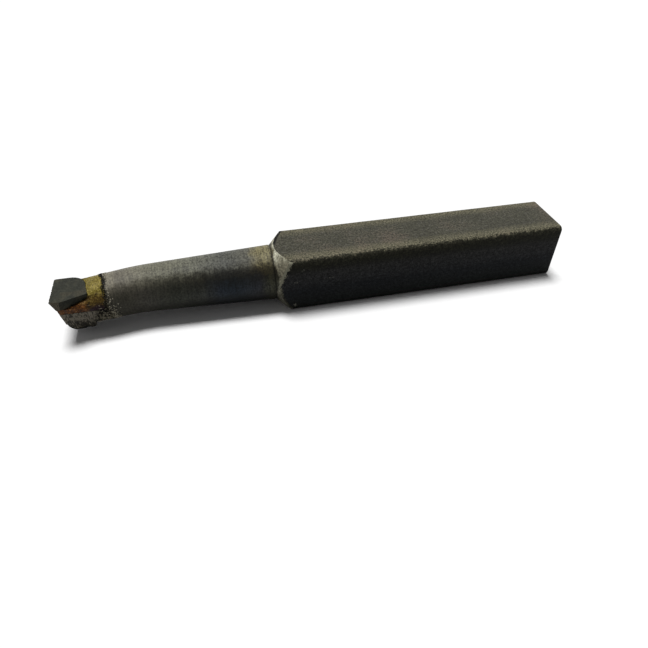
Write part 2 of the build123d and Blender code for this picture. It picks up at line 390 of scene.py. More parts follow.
def refine(piece, start_ahead, longest):
    """Splits the head's long edges, so that its unevenness can be real shape, and merges slivers."""
    work = bmesh.new()
    work.from_mesh(piece.data)
    limit = (shoulder_x - start_ahead) * MM
    most_passes, nearly_flat, sliver = 7, 0.01, 0.004 * MM

    def in_head(part):
        return min(v.co.x for v in part.verts) < limit

    for _ in range(most_passes):
        long_edges = [e for e in work.edges if e.calc_length() > longest * MM and in_head(e)]
        if not long_edges:
            break
        bmesh.ops.subdivide_edges(work, edges=long_edges, cuts=1)
        split = bmesh.ops.triangulate(work, faces=[f for f in work.faces if in_head(f)])["faces"]
        inner = list({e for f in split for e in f.edges if e.calc_face_angle(1) < nearly_flat})
        bmesh.ops.beautify_fill(work, faces=split, edges=inner)
    bmesh.ops.dissolve_degenerate(work, dist=sliver, edges=work.edges)
    bmesh.ops.triangulate(work, faces=[face for face in work.faces if len(face.verts) > 4])
    work.to_mesh(piece.data)
    work.free()


refine(tool_body, turned_end, 0.45)


def point_array(mesh):
    """The mesh's points as an array."""
    points = np.zeros(len(mesh.vertices) * 3)
    mesh.vertices.foreach_get("co", points)
    return points.reshape(-1, 3)


def store(piece, **values):
    """Keeps named numbers for each point of the piece."""
    for name, numbers in values.items():
        data = piece.data.attributes.new(name, "FLOAT", "POINT").data
        data.foreach_set("value", np.asarray(numbers, np.float32))


def smooth_step(values, low, high):
    """0 below low, 1 above high, smooth in between."""
    t = np.clip((values - low) / (high - low), 0, 1)
    return t * t * (3 - 2 * t)


def add(tree, kind, inputs=(), stops=(), **settings):
    """Adds a node, or takes one that is there, with its settings and links.

    A kind without Node in its name is a shader node's. Inputs go by name, or in the order of the
    sockets in use. Stops are a ramp's colours.
    """
    if isinstance(kind, str):
        node = tree.nodes.new(kind if "Node" in kind else "ShaderNode" + kind)
    else:
        node = kind
    if kind == "Mix":
        node.data_type = "RGBA"
    for name, value in settings.items():
        setattr(node, name, value)
    in_use = [s for s in node.inputs if s.enabled]
    by_name = {s.name: s for s in reversed(in_use)}
    for key, value in inputs.items() if isinstance(inputs, dict) else enumerate(inputs):
        socket = by_name[key] if key in by_name else in_use[key]
        if isinstance(value, bpy.types.Node):
            value = next(s for s in value.outputs if s.enabled)
        if isinstance(value, bpy.types.NodeSocket):
            tree.links.new(value, socket)
        else:
            socket.default_value = value
    if stops:
        elements = node.color_ramp.elements
        elements.remove(elements[1])
        for i, (place, code) in enumerate(stops):
            element = elements.new(place) if i else elements[0]
            element.position, element.color = place, linear(code)
    return node


def linear(code):
    """A colour from its sRGB hex code."""
    channels = [int(code[i : i + 2], 16) / 255 for i in (1, 3, 5)]
    return (*(c / 12.92 if c <= 0.04045 else ((c + 0.055) / 1.055) ** 2.4 for c in channels), 1.0)


def new_material(name, **values):
    """A material, its tree, its shader with the values that are the same all over, and millimetres."""
    made = bpy.data.materials.new(name)
    made.use_nodes = True
    tree = made.node_tree
    shader = tree.nodes["Principled BSDF"]
    for socket, value in values.items():
        shader.inputs[socket.replace("_", " ")].default_value = value
    place = add(tree, "TexCoord").outputs["Object"]
    return made, tree, shader, add(tree, "VectorMath", [place, 1 / MM], operation="SCALE")


def new_geometry_tree(name, values):
    """A geometry node tree with a named input for each value, and the outputs of its input node."""
    kinds = {float: "NodeSocketFloat", int: "NodeSocketInt", bpy.types.Material: "NodeSocketMaterial"}
    tree = bpy.data.node_groups.new(name, "GeometryNodeTree")
    tree.interface.new_socket("Geometry", in_out="INPUT", socket_type="NodeSocketGeometry")
    for label, value in values.items():
        tree.interface.new_socket(label, in_out="INPUT", socket_type=kinds[type(value)])
    tree.interface.new_socket("Geometry", in_out="OUTPUT", socket_type="NodeSocketGeometry")
    return tree, tree.nodes.new("NodeGroupInput").outputs


def moved_out(tree, shape, distance):
    """The shape with its surface moved out by a distance in millimetres."""
    distance = add(tree, "Math", [distance, MM], operation="MULTIPLY")
    normal = add(tree, "GeometryNodeInputNormal")
    offset = add(tree, "VectorMath", [normal, distance], operation="SCALE")
    return add(tree, "GeometryNodeSetPosition", {"Geometry": shape, "Offset": offset})


def end_tree(tree, shape, everywhere, *finishes):
    """Ends a tree with smooth geometry, a material for all of it, and one for each finish from 1."""
    shape = add(tree, "GeometryNodeSetShadeSmooth", {"Geometry": shape, "Shade Smooth": True})
    shape = add(tree, "GeometryNodeRealizeInstances", {"Geometry": shape})
    shape = add(tree, "GeometryNodeSetMaterial", {"Geometry": shape, "Material": everywhere})
    for code, material in enumerate(finishes, 1):
        mark = add(tree, "GeometryNodeInputNamedAttribute", {"Name": "finish"}, data_type="INT")
        mark = add(
            tree, "FunctionNodeCompare", {"A": mark, "B": code}, data_type="INT", operation="EQUAL"
        )
        shape = add(
            tree, "GeometryNodeSetMaterial", {"Geometry": shape, "Selection": mark, "Material": material}
        )
    add(tree, "NodeGroupOutput", [shape])


def run_tree(piece, tree, values):
    """Runs a geometry tree on the piece with its values, and keeps the result as plain mesh."""
    modifier = piece.modifiers.new(tree.name, "NODES")
    modifier.node_group = tree
    for item in tree.interface.items_tree:
        if item.name in values:
            modifier[item.identifier] = values[item.name]
    finished(piece)


# Black scale: iron oxide left by hot rolling and hardening. Matt and nearly black on the sides, and
# rubbed to an olive grey on the faces that the tool post holds. It stops ragged short of the cone.
scale, tree, shader, in_mm = new_material("forging_scale_on_steel", Specular_IOR_Level=0.05)
mottle = add(tree, "TexNoise", [in_mm, 0.8, 5.0, 0.65])
grain = add(tree, "TexNoise", [in_mm, 1.7, 3.0, 0.8])
clouds = add(tree, "TexNoise", [in_mm, 0.07, 2.0])
lengthwise = add(tree, "VectorMath", [in_mm, (0.05, 1.4, 1.4)], operation="MULTIPLY")
rub = add(tree, "TexNoise", [lengthwise, 1.0, 3.0])
from_edge, knocked, burr, bare = (
    add(tree, "Attribute", attribute_name=name).outputs["Fac"]
    for name in ("in_from_edge", "knocked", "burr", "bare")
)
ragged = add(tree, "Math", [mottle, 2.4, from_edge], operation="MULTIPLY_ADD")
ragged = add(tree, "Math", [grain, 2.6, ragged], operation="MULTIPLY_ADD")
held = add(tree, "MapRange", [ragged, 1.5, 2.3])
worn = add(tree, "MapRange", [ragged, 3.4, 6.5, 1.0, 0.0])
held_colour = add(tree, "ValToRGB", [mottle], [
    (0.35, "#3c3b33"), (0.5, "#47463c"), (0.65, "#53514a")
])
worn_colour = add(tree, "ValToRGB", [grain], [(0.35, "#4b493d"), (0.65, "#6f6b58")])
held_colour = add(tree, "Mix", [worn, held_colour, worn_colour])
brown = add(tree, "Math", [clouds, grain], operation="MULTIPLY")
brown = add(tree, "MapRange", [brown, 0.25, 0.42, 0.0, 0.5])
held_colour = add(tree, "Mix", [brown, held_colour, linear("#5f5048")])
height = add(tree, "SeparateXYZ", [in_mm]).outputs["Z"]
# The sides' colour by height, darker towards the bottom as painted shade
shade_height = add(tree, "Math", [mottle, 2.5, height], operation="MULTIPLY_ADD")
shade_height = add(tree, "MapRange", [shade_height, 1.25, 21.25])
side_scale_and_shade = add(tree, "ValToRGB", [shade_height], [
    (0.04, "#0c0d0c"), (0.12, "#191b1a"), (0.4, "#1b1d1f"), (0.53, "#2a2b2c"), (0.72, "#30302f"),
    (0.79, "#242420"), (0.88, "#22221a"), (0.95, "#34332a"),
])
patches = add(tree, "MapRange", [mottle, 0.36, 0.64, 0.5, 1.65])
side_scale_and_shade = add(tree, "Mix", [1.0, side_scale_and_shade, patches], blend_type="MULTIPLY")
skin = add(tree, "Mix", [held, side_scale_and_shade, held_colour])
for source, low, high, least, most in (
    (clouds, 0.3, 0.7, 0.85, 1.15), (rub, 0.35, 0.7, 0.92, 1.1), (grain, 0.38, 0.62, 0.4, 1.65)
):
    shade = add(tree, "MapRange", [source, low, high, least, most])
    skin = add(tree, "Mix", [1.0, skin, shade], blend_type="MULTIPLY")
# Knocks by the shoulder, a painted dark line of shade on the top face along the cone's far edge, and the
# bare strip where the scale has come off
slanted = add(tree, "VectorMath", [in_mm, (1.6, 1.0, 0.5)], operation="MULTIPLY")
nicks = add(tree, "TexNoise", [slanted, 1.0, 2.0])
nicks = add(tree, "Math", [nicks, knocked], operation="MULTIPLY")
burr = add(tree, "Math", [grain, 1.4, burr], operation="MULTIPLY_ADD")
bare = add(tree, "Math", [grain, 2.4, bare], operation="MULTIPLY_ADD")
bare = add(tree, "Math", [mottle, 3.0, bare], operation="MULTIPLY_ADD")
# The bare strip darker towards the bottom: painted shade
bare_strip_shaded = add(tree, "MapRange", [height, 6.0, 11.0, 0.15])
bare_strip_shaded = add(tree, "Mix", [1.0, linear("#a3a18c"), bare_strip_shaded], blend_type="MULTIPLY")
for mark, low, high, colour in (
    (nicks, 0.42, 0.52, linear("#6f6f66")),
    (burr, 0.95, 1.25, linear("#121210")),
    (bare, 2.6, 2.9, bare_strip_shaded),
):
    mark = add(tree, "MapRange", [mark, low, high])
    skin = add(tree, "Mix", [mark, skin, colour])
rough = add(tree, "MapRange", [grain, 0.3, 0.7, 0.42, 0.65])
bump = add(tree, "Bump", {"Height": grain, "Strength": 0.5, "Distance": 0.00008})
add(tree, shader, {"Base Color": skin, "Roughness": rough, "Normal": bump})

# Turned steel: bright where the shoulder was cut last, and coloured on the neck by the heat of
# brazing, which ran from straw by the shoulder through brown and blue to grey towards the head.
# Each colour has a lighter copy on the upper side as painted highlight and a darker copy below as
# painted shade, with painted shade in the root's corner.
turned_steel, tree, shader, in_mm = new_material("turned_and_heat_tinted_steel", Specular_IOR_Level=0.1)
run, facing_up, sooted = (
    add(tree, "Attribute", attribute_name=name).outputs["Fac"] for name in ("run", "facing_up", "sooted")
)
wander = add(tree, "TexNoise", [in_mm, 0.3, 2.0])
along = add(tree, "Math", [wander, 4.0, run], operation="MULTIPLY_ADD")
along = add(tree, "MapRange", [along, 2.0, 62.0])
upper_lit_tint = add(tree, "ValToRGB", [along], [
    (0.0, "#d2d0ba"), (0.07, "#d2d0ba"), (0.085, "#5c5743"), (0.12, "#7a7458"), (0.16, "#736c50"),
    (0.22, "#57564d"), (0.35, "#50514c"), (0.5, "#646459"), (0.7, "#6b6a5c"), (0.82, "#747164"),
    (0.9, "#68645a"), (0.96, "#827d6e"),
])
lower_shaded_tint = add(tree, "ValToRGB", [along], [
    (0.0, "#cfcdb9"), (0.07, "#cfcdb9"), (0.085, "#4b4c40"), (0.12, "#505143"), (0.17, "#35363a"),
    (0.23, "#353a40"), (0.31, "#283038"), (0.4, "#333941"), (0.48, "#424440"), (0.62, "#44463e"),
    (0.78, "#56544d"), (0.88, "#4c4a41"), (1.0, "#57554b"),
])
blotches = add(tree, "TexNoise", [in_mm, 0.45, 5.0, 0.65])
# Lit and shaded copies: the upper tint where the surface faces up is painted light, the lower tint below
# it painted shade
level_here = add(tree, "Math", [blotches, 0.25, facing_up], operation="MULTIPLY_ADD")
lit_share = add(tree, "MapRange", [level_here, 0.865, 1.045])
tint = add(tree, "Mix", [lit_share, lower_shaded_tint, upper_lit_tint])
# Painted shade that follows how the surface faces, darkest facing down
level_here = add(tree, "MapRange", [level_here, 0.125, 1.125])
soot = add(tree, "ValToRGB", [level_here], [
    (0.25, "#4c4a46"), (0.33, "#6c6a66"), (0.4, "#a09e98"), (0.47, "#e6e5e2"), (0.54, "#ffffff"),
    (0.62, "#d3d1cc"), (0.7, "#97938a"), (0.78, "#7c776c"), (0.84, "#807b71"), (0.89, "#aeaba4"),
    (0.95, "#ffffff"),
])
on_neck = add(tree, "ValToRGB", [along], [
    (0.06, "#f0f0f0"), (0.09, "#ffffff"), (0.45, "#ffffff"), (0.6, "#ececec"), (0.85, "#cccccc"),
])
place = add(tree, "SeparateXYZ", [in_mm]).outputs
round_neck = add(tree, "CombineXYZ", {"X": run, "Y": place["Y"], "Z": place["Z"]})
round_neck = add(tree, "VectorMath", [round_neck, (2.0, 0.12, 0.12)], operation="MULTIPLY")
marks = add(tree, "TexNoise", [round_neck, 1.0, 4.0, 0.7])
speckle = add(tree, "TexNoise", [in_mm, 1.6, 3.0, 0.8])
texture = add(tree, "Math", [speckle, 1.6, marks], operation="MULTIPLY_ADD")
texture = add(tree, "MapRange", [texture, 1.05, 1.55, 0.3, 1.7])
# Painted shade in the corner at the neck's root
root_corner_shade = add(tree, "Math", [run, neck_root_run + 0.25], operation="SUBTRACT")
root_corner_shade = add(tree, "Math", [root_corner_shade], operation="ABSOLUTE")
root_corner_shade = add(tree, "MapRange", [root_corner_shade, 0.12, 0.4, 0.25, 1.0])
for share, shade in ((on_neck, soot), (on_neck, texture), (1.0, root_corner_shade)):
    tint = add(tree, "Mix", [share, tint, shade], blend_type="MULTIPLY")
# Near black where the soot and painted shade marks say
tint = add(tree, "Mix", [sooted, tint, linear("#0e0d0b")])
rough = add(tree, "MapRange", [marks, 0.3, 0.7, 0.45, 0.6])
bump = add(tree, "Bump", {"Height": speckle, "Strength": 0.5, "Distance": 0.0001})
add(tree, shader, {"Base Color": tint, "Roughness": rough, "Normal": bump})

# Forged skin of the head's heel: coarse dull scale
forged_steel, tree, shader, in_mm = new_material(
    "forged_steel_skin", Specular_IOR_Level=0.06, Roughness=0.6
)
mottle = add(tree, "TexNoise", [in_mm, 0.8, 6.0, 0.7])
skin = add(tree, "ValToRGB", [mottle], [
    (0.3, "#2e2e29"), (0.55, "#4b4a42"), (0.75, "#6a685d")
])
# Near black where the soot and painted shade marks say
sooted = add(tree, "Attribute", attribute_name="sooted").outputs["Fac"]
skin = add(tree, "Mix", [sooted, skin, linear("#0e0d0b")])
bump = add(tree, "Bump", {"Height": mottle, "Strength": 0.6, "Distance": 0.0002})
add(tree, shader, {"Base Color": skin, "Normal": bump})

# Ground steel: the grey flats of the head, with the short scratches of an offhand wheel
ground_steel, tree, shader, in_mm = new_material(
    "offhand_ground_steel", Specular_IOR_Level=0.1, Roughness=0.5
)
upright = add(tree, "VectorMath", [in_mm, (3.0, 3.0, 0.35)], operation="MULTIPLY")
scratches = add(tree, "TexNoise", [upright, 1.0, 4.0, 0.6])
mottle = add(tree, "TexNoise", [in_mm, 0.7, 5.0, 0.6])
both = add(tree, "Math", [mottle, 0.7], operation="MULTIPLY")
both = add(tree, "Math", [scratches, 1.3, both], operation="MULTIPLY_ADD")
height = add(tree, "SeparateXYZ", [in_mm]).outputs["Z"]
# Lighter towards the top and darker towards the bottom: painted light and shade
lit = add(tree, "MapRange", [height, 2.0, 8.0, -0.12, 0.06])
both = add(tree, "Math", [both, 0.5, lit], operation="MULTIPLY_ADD")
flats = add(tree, "ValToRGB", [both], [(0.4, "#201e19"), (0.5, "#444036"), (0.58, "#8c8577")])
sooted = add(tree, "Attribute", attribute_name="sooted").outputs["Fac"]
# Painted shade: near black in and around the hollow at the heel's lower rear corner, and where the
# body's soot and painted shade marks say
hollow_place = tuple(Vector(to_frame(65.7, 7.5, 3.3)) / MM)
from_hollow = add(tree, "VectorMath", [in_mm, hollow_place], operation="SUBTRACT")
from_hollow = add(tree, "VectorMath", [from_hollow, (0.6, 0.3, 1.0)], operation="MULTIPLY")
from_hollow = add(tree, "VectorMath", [from_hollow], operation="LENGTH")
from_hollow = from_hollow.outputs["Value"]
hollow_shade = add(tree, "Math", [mottle, 1.2, from_hollow], operation="MULTIPLY_ADD")
hollow_shade = add(tree, "MapRange", [hollow_shade, 1.4, 1.75, 1.0, 0.0])
hollow_shade = add(tree, "Math", [hollow_shade, sooted], operation="MAXIMUM")
flats = add(tree, "Mix", [hollow_shade, flats, linear("#060605")])
bump = add(tree, "Bump", {"Height": scratches, "Strength": 0.4, "Distance": 0.0001})
add(tree, shader, {"Base Color": flats, "Normal": bump})

# Sawn steel: the rear end, with the straight marks of a power hacksaw and a thin brown rust
sawn_steel, tree, shader, in_mm = new_material(
    "sawn_steel", Metallic=0.15, Specular_IOR_Level=0.25, Roughness=0.5
)
across_saw = add(tree, "VectorMath", [in_mm, (1.0, 0.06, 2.2)], operation="MULTIPLY")
saw_marks = add(tree, "TexNoise", [across_saw, 1.0, 4.0, 0.65])
rust = add(tree, "TexNoise", [in_mm, 0.35, 5.0, 0.6])
metal = add(tree, "ValToRGB", [saw_marks], [(0.3, "#45433d"), (0.7, "#77746a")])
rust_share = add(tree, "MapRange", [rust, 0.5, 0.75, 0.0, 0.7])
metal = add(tree, "Mix", [rust_share, metal, linear("#4a3a2a")])
bump = add(tree, "Bump", {"Height": saw_marks, "Strength": 0.5, "Distance": 0.0002})
add(tree, shader, {"Base Color": metal, "Normal": bump})


def slag_wander(around):
    """How far the slag's line strays from a true ring, by the angle round the neck."""
    return 0.35 * np.sin(3 * around + 0.5) + 0.2 * np.sin(8 * around)


slag_line, slag_crust = 58.9, 60.6

# Where each point lies on the body, in millimetres: along its axis and in from the shank's long
# edges, negative on the edges and the sides, and how near it is to the edge of the cone
ahead, side, height = from_frame(point_array(tool_body.data))
run, across = along_axis(ahead, side)
up = height - axis_height
on_top = np.abs(up) > np.abs(across)
past_flat = np.maximum(np.stack([np.abs(up), np.abs(across)]) - flat, 0)
# The round of a long edge counts 1.2 mm for each radian, and so 1.885 mm from the top to the side
edge_per_radian, edge_arc = 1.2, 1.885
round_edge = -edge_per_radian * np.arctan2(past_flat[1], past_flat[0])
on_face = on_top & (past_flat[1] == 0)
in_from_edge = np.where(on_face, flat - np.abs(across), np.abs(up) - flat - edge_arc)
in_from_edge = np.where(past_flat.min(axis=0) > 0, round_edge, in_from_edge)
past_cone_edge = run + np.hypot(up, across) - cone_reach
# The cone's far side is lowered in facing_up, as painted shade
far_side_shade = 0.07 * smooth_step(-across, -3, 2)
grooves_start, grooves_end = neck_root_run + 0.6, 57.5
grooved = smooth_step(run, grooves_start, grooves_start + 0.6) - smooth_step(run, grooves_end, 58.4)
store(
    tool_body,
    run=run,
    in_from_edge=in_from_edge,
    # How much the surface faces up, which sets the neck's painted light and shade
    facing_up=0.5 + 0.5 * up / np.hypot(up, across) - far_side_shade * (run < neck_root_run),
    knocked=sum(
        np.exp(-(((run - knock_run) / length) ** 2) - ((up - knock_up) / width) ** 2)
        for knock_run, knock_up, length, width in (
            (-0.8, -7.6, 1.8, 2.0), (-1.0, 1.6, 1.8, 1.1), (-4.0, 6.0, 1.4, 1.6), (-13, 1.8, 5.0, 0.5)
        )
    ),
    turned=grooved,
    rolled=1 - smooth_step(run, -1.5, 0.0),
    forged=smooth_step(run, turned_end, turned_end + 1),
    bare=past_cone_edge + np.where(on_top, -0.3, 0.6 + 0.6 * smooth_step(up, 0, 6)),
    # Soot and painted shade: a dark ring where the filler meets the neck and a patch under the slag
    # crust, each part soot of the burnt flux and part painted shade in the groove and under the crumbs,
    # and painted shade in the hollow at the heel's lower rear corner
    sooted=np.clip(
        1.6 * np.exp(-(((run - slag_line - slag_wander(np.arctan2(up, across))) / 0.65) ** 2))
        + 2.0 * np.exp(-(((run - slag_crust) / 2.0) ** 2) - ((up + 2.6) / 3.4) ** 2)
        + 2.0 * np.exp(-(((ahead - 65.4) / 1.3) ** 2) - ((height - 3.2) / 0.9) ** 2) * (side > 4), 0, 1
    ),
    # A painted dark line of shade on the top face along the cone's far edge
    burr=smooth_step(past_cone_edge, -1.3, -0.2) * on_top * smooth_step(-across, -1, 3),
)

# Working of the surface: turning grooves on the neck, and the slight waves of hot rolling and of
# forging elsewhere, each where the body's own marks say
worked_by = {
    "Groove pitch": groove_pitch, "Groove depth": 0.045, "Rolling waves": 0.07, "Forging waves": 0.12,
    "Seed": 7, "Scale": scale, "Turned": turned_steel, "Forged": forged_steel, "Ground": ground_steel,
    "Sawn": sawn_steel,
}
surface, given = new_geometry_tree("turned and rolled surface", worked_by)
run, turned, rolled, forged = (
    add(surface, "GeometryNodeInputNamedAttribute", {"Name": name})
    for name in ("run", "turned", "rolled", "forged")
)
grooves = add(surface, "Math", [run, given["Groove pitch"]], operation="DIVIDE")
phase = add(surface, "Math", [grooves], operation="FRACT")
phase = add(surface, "MapRange", [phase, 0.0, 1.0, -1.0])
cusp = add(surface, "Math", [phase, phase, -1.0], operation="MULTIPLY_ADD")
groove = add(surface, "Math", [grooves], operation="FLOOR")
share = add(
    surface, "FunctionNodeRandomValue", {"ID": groove, "Seed": given["Seed"], "Min": 0.35, "Max": 1.0}
)
for factor in (share, turned, given["Groove depth"]):
    cusp = add(surface, "Math", [cusp, factor], operation="MULTIPLY")
place = add(surface, "GeometryNodeInputPosition")
in_mm = add(surface, "VectorMath", [place, 1 / MM], operation="SCALE")
lengthwise = add(surface, "VectorMath", [in_mm, (0.35, 1.0, 1.0)], operation="MULTIPLY")
total = cusp
for place, scale_per_mm, detail, depth, where in (
    (lengthwise, 0.35, 3.0, "Rolling waves", rolled), (in_mm, 0.6, 4.0, "Forging waves", forged)
):
    waves = [place, given["Seed"], scale_per_mm, detail]
    waves = add(surface, "TexNoise", waves, noise_dimensions="4D")
    waves = add(surface, "MapRange", [waves, 0.0, 1.0, -0.9, 0.1])
    waves = add(surface, "Math", [waves, given[depth]], operation="MULTIPLY")
    total = add(surface, "Math", [waves, where, total], operation="MULTIPLY_ADD")
worked = moved_out(surface, given["Geometry"], total)
end_tree(surface, worked, *(given[name] for name in ("Scale", "Turned", "Forged", "Ground", "Sawn")))
run_tree(tool_body, surface, worked_by)
tool_body.data.set_sharp_from_angle(angle=math.radians(32))
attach(tool_body, "root")
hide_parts("bar")

# --------------------------------------------------
# Carbide tip. A plate of cemented tungsten carbide, pressed and sintered, brazed into the seat, and
# ground with the head on its front and nose. Use has chipped its cutting edge.
steps_of_edge = [90, 24, 56, 20, 20]
edge_loop = tip_loop([0] * 5, steps_of_edge)
lean = tip_loop([math.tan(math.radians(relief)) for relief in tip_reliefs], steps_of_edge) - edge_loop
forward = np.roll(edge_loop, -1, axis=0) - np.roll(edge_loop, 1, axis=0)
inward = np.stack([-forward[:, 1], forward[:, 0]], axis=1) / np.hypot(*forward.T)[:, None]
plate_middle = edge_loop.mean(axis=0)
inward *= np.sign(((plate_middle - edge_loop) * inward).sum(axis=1))[:, None]
along_edge = np.cumsum(np.linalg.norm(edge_loop - np.roll(edge_loop, 1, axis=0), axis=1))

# Chips: most where the front edge cuts, some at the nose, few behind it
random = np.random.default_rng(5)
chip_places = np.concatenate([
    random.uniform(*stretch) for stretch in ((6.5, 10.8, 9), (1, 12, 5), (12, 15.5, 4), (16, 23, 3))
])
chip_widths = random.uniform(0.14, 0.45, len(chip_places))
chip_depths = random.uniform(0.05, 0.2, len(chip_places))
chips = [
    depth * np.clip(1 - ((along_edge - middle) / width) ** 2, 0, 1)
    for middle, width, depth in zip(chip_places, chip_widths, chip_depths)
]
bite = np.max(chips, axis=0) + random.uniform(0, 0.015, len(edge_loop))

top_shares = (0.08, 0.2, 0.35, 0.5, 0.65, 0.78, 0.88, 0.94, 0.975, 1.0)
plate_rings = []
top_loop = edge_loop + inward * (0.03 + bite)[:, None]
for share in top_shares:
    plate_rings.append(level(plate_middle + (top_loop - plate_middle) * share, rake_height))
plate_rings.append(
    level(edge_loop + inward * (0.008 + 0.35 * bite)[:, None], rake_height - 0.02 - 0.7 * bite)
)
for depth in (0.05 + 1.3 * bite, 0.4, 0.8, 1.2, 1.6, 2.0, 2.4, 2.8, 3.1, tip_thickness - 0.05):
    depth = np.broadcast_to(depth, len(edge_loop))
    plate_rings.append(level(edge_loop + lean * depth[:, None], rake_height - depth))
base_loop = edge_loop + lean * tip_thickness + inward * 0.05
for share in (1.0, 0.7, 0.35):
    plate_rings.append(
        level(plate_middle + (base_loop - plate_middle) * share, rake_height - tip_thickness)
    )
carbide_plate = closed_rings("carbide_plate", np.array(plate_rings))
# Of its sides the front, the nose and the three corners round them are ground
ground_points = sum(steps_of_edge[:2]) + 3 * arc_steps
ground = np.arange(len(edge_loop)) < ground_points
plain = np.zeros(len(edge_loop), bool)
side_bands = len(plate_rings) - len(top_shares)
bands = [plain] * (len(top_shares) - 1) + [ground] * side_bands + [plain] * 2
set_finish(carbide_plate, np.concatenate(bands))

# Sintered skin: cobalt-bonded tungsten carbide as it left the furnace, matt grey with a green cast
sintered, tree, shader, in_mm = new_material(
    "sintered_cemented_carbide", Specular_IOR_Level=0.06, Roughness=0.5
)
grain = add(tree, "TexNoise", [in_mm, 1.6, 6.0, 0.7])
clouds = add(tree, "TexNoise", [in_mm, 0.25, 3.0])
matt = add(tree, "ValToRGB", [clouds], [(0.38, "#2b2c26"), (0.5, "#31322b"), (0.62, "#3c3a30")])
speckle = add(tree, "MapRange", [grain, 0.35, 0.65, 0.6, 1.45])
matt = add(tree, "Mix", [1.0, matt, speckle], blend_type="MULTIPLY")
bump = add(tree, "Bump", {"Height": grain, "Strength": 0.3, "Distance": 0.00005})
add(tree, shader, {"Base Color": matt, "Normal": bump})

# Ground carbide: the front and the nose, brighter and a little brown, with fine upright wheel marks
ground_carbide, tree, shader, in_mm = new_material(
    "diamond_ground_cemented_carbide", Metallic=0.1, Specular_IOR_Level=0.12, Roughness=0.4
)
upright = add(tree, "VectorMath", [in_mm, (5.0, 5.0, 0.5)], operation="MULTIPLY")
scratches = add(tree, "TexNoise", [upright, 1.0, 4.0, 0.6])
flats = add(tree, "ValToRGB", [scratches], [(0.38, "#332f25"), (0.62, "#5d5543")])
bump = add(tree, "Bump", {"Height": scratches, "Strength": 0.3, "Distance": 0.00005})
add(tree, shader, {"Base Color": flats, "Normal": bump})

# The ground faces and the sintered skin, each by its own mark
finishes = {"Sintered": sintered, "Ground": ground_carbide}
plate, given = new_geometry_tree("plate finishes", finishes)
end_tree(plate, given["Geometry"], given["Sintered"], given["Ground"])
run_tree(carbide_plate, plate, finishes)
carbide_plate.data.set_sharp_from_angle(angle=math.radians(30))
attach(carbide_plate, "root")
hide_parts("carbide_tip")

# --------------------------------------------------
# Brazing filler. Brass melted into the joint under and behind the tip. It ran up in a fillet beside
# the tip and back over the head as a lumpy film, and it cooled there.
cast = bmesh.new()
cast.from_mesh(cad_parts["braze"].data)
bmesh.ops.remove_doubles(cast, verts=cast.verts, dist=1e-7)
bmesh.ops.scale(cast, verts=cast.verts, vec=(1 / MM,) * 3)
cast_mesh = bpy.data.meshes.new("brazing_filler")
cast.to_mesh(cast_mesh)
cast.free()
brazing_filler = put_in_scene("brazing_filler", cast_mesh)
even = brazing_filler.modifiers.new("even", "REMESH")
even.mode = "VOXEL"
even.voxel_size = 0.11
settle = brazing_filler.modifiers.new("settle", "SMOOTH")
settle.factor, settle.iterations = 0.5, 4
finished(brazing_filler)
brazing_filler.data.transform(Matrix.Scale(MM, 4))
ahead, side, height = from_frame(point_array(brazing_filler.data))
run, across = along_axis(ahead, side)
stain = np.hypot(0.7 * (run - 62.0), height - 10.4)
store(brazing_filler, run=run, stained=1 - smooth_step(stain, 1.2, 2.8))

# Brass that was molten: gold where it stayed clean, ochre and brown where it was overheated, copper
# red where the zinc boiled off, with a purple stain of flux. Gold is put on the higher parts and
# ochre lower down, partly as painted light: lighter above and darker below.
brass, tree, shader, in_mm = new_material(
    "brass_filler_run_from_the_joint", Metallic=0.1, Specular_IOR_Level=0.1
)
lumps = add(tree, "TexNoise", [in_mm, 0.7, 4.0, 0.6])
specks = add(tree, "TexNoise", [in_mm, 3.0, 5.0, 0.7])
height = add(tree, "SeparateXYZ", [in_mm]).outputs["Z"]
mixed = add(tree, "Math", [lumps, specks])
mixed = add(tree, "Math", [mixed, 0.5], operation="MULTIPLY")
gold = add(tree, "ValToRGB", [specks], [(0.36, "#3f350f"), (0.5, "#6b5e22"), (0.62, "#a2944e")])
ochre = add(tree, "ValToRGB", [mixed], [
    (0.4, "#1f1406"), (0.47, "#3f2f10"), (0.53, "#57461a"), (0.6, "#7a6638"),
])
copper = add(tree, "ValToRGB", [mixed], [
    (0.4, "#1d0d06"), (0.47, "#4a2a0e"), (0.54, "#7a4d20"), (0.6, "#9a7450"),
])
# Gold on the higher parts and ochre lower down: partly the brass's colours, partly painted light and
# shade
level_here = add(tree, "Math", [lumps, 3.0, height], operation="MULTIPLY_ADD")
high = add(tree, "MapRange", [level_here, 15.7, 17.3], interpolation_type="SMOOTHSTEP")
film = add(tree, "Mix", [high, ochre, gold])
run = add(tree, "Attribute", attribute_name="run").outputs["Fac"]
run_here = add(tree, "Math", [lumps, 3.0, run], operation="MULTIPLY_ADD")
in_front = add(tree, "MapRange", [run_here, 65.0, 67.5], interpolation_type="SMOOTHSTEP")
low = add(tree, "MapRange", [level_here, 14.8, 15.8, 1.0, 0.0])
overheated = add(tree, "Math", [in_front, low], operation="MULTIPLY")
film = add(tree, "Mix", [overheated, film, copper])
stained = add(tree, "Attribute", attribute_name="stained").outputs["Fac"]
film = add(tree, "Mix", [stained, film, linear("#24141a")])
rough = add(tree, "MapRange", [specks, 0.3, 0.7, 0.3, 0.55])
bump = add(tree, "Bump", {"Height": specks, "Strength": 0.6, "Distance": 0.0001})
add(tree, shader, {"Base Color": film, "Roughness": rough, "Normal": bump})

